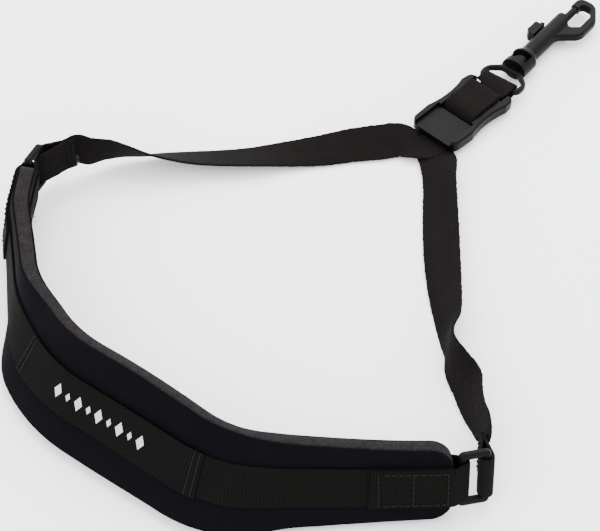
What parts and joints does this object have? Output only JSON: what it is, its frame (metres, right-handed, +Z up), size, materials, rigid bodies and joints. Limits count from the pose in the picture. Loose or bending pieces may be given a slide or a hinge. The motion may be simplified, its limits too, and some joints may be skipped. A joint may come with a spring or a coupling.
{
  "type": "neck strap",
  "caption": "Padded neck strap lying closed in a loop: leaning foam yoke, rectangular rings, woven webbing legs, moulded slider and a swivelling snap hook with a thumb bolt.",
  "frame": {"origin": "centre of the footprint, on the surface the strap lies on", "axes": "+X to the right, +Y from the pad towards the slider and hook, +Z up from the surface"},
  "size_m": [0.3039, 0.3347, 0.0476],
  "materials": {
    "foam": "closed-cell foam, cut edges",
    "jersey": "fine warp-knit nylon",
    "band": "ribbed woven tape",
    "webbing": "soft woven webbing",
    "thread": "bonded thread",
    "moulded": "spark-eroded moulding",
    "spring_wire": "drawn wire"
  },
  "bodies": {
    "yoke": {"pad_foam": "foam", "pad_outer_jersey": "jersey", "pad_inner_jersey": "jersey", "spine_band": "band", "label_band": "band", "label_stitching": "thread", "left_anchor_webbing": "band", "right_anchor_webbing": "band", "left_anchor_stitching": "thread", "right_anchor_stitching": "thread", "left_leg_webbing": "webbing", "right_leg_webbing": "webbing", "hook_loop_webbing": "webbing"},
    "left_ring": {"left_ring": "moulded", "left_fold_webbing": "webbing", "left_fold_stitching": "thread"},
    "right_ring": {"right_ring": "moulded", "right_fold_webbing": "webbing", "right_fold_stitching": "thread"},
    "slider": {"slider_frame": "moulded", "slider_upper_webbing": "webbing", "slider_lower_webbing": "webbing"},
    "swivel_ring": {"swivel_ring": "moulded"},
    "hook": {"hook_body": "moulded", "bolt_spring": "spring_wire"},
    "thumb_bolt": {"thumb_bolt": "moulded"}
  },
  "joints": [
    {"name": "left_ring_hinge", "type": "hinge", "parent": "yoke", "child": "left_ring", "pos_m": [-0.14003, 0.02149, 0.01841], "axis": [0.0391, -0.003, 0.9992], "range_deg": [-20, 20]},
    {"name": "right_ring_hinge", "type": "hinge", "parent": "yoke", "child": "right_ring", "pos_m": [0.0586, -0.14985, 0.01828], "axis": [0.0139, -0.3417, -0.9397], "range_deg": [-20, 20]},
    {"name": "slider_slide", "type": "slide", "parent": "yoke", "child": "slider", "axis": [-0.6947, -0.7193, 0], "range_m": [-0.001, 0.006]},
    {"name": "ring_swing", "type": "hinge", "parent": "yoke", "child": "swivel_ring", "pos_m": [0.09576, 0.10053, 0.0065], "axis": [0.7826, -0.6225, 0], "range_deg": [-20, 90]},
    {"name": "hook_swivel", "type": "hinge", "parent": "swivel_ring", "child": "hook", "pos_m": [0.1082, 0.11619, 0.0065], "axis": [0.6225, 0.7826, 0], "continuous": true},
    {"name": "bolt_slide", "type": "slide", "parent": "hook", "child": "thumb_bolt", "axis": [-0.6225, -0.7826, 0], "range_m": [0, 0.007], "stiffness_N_per_m": 250, "springref_m": -0.004}
  ]
}
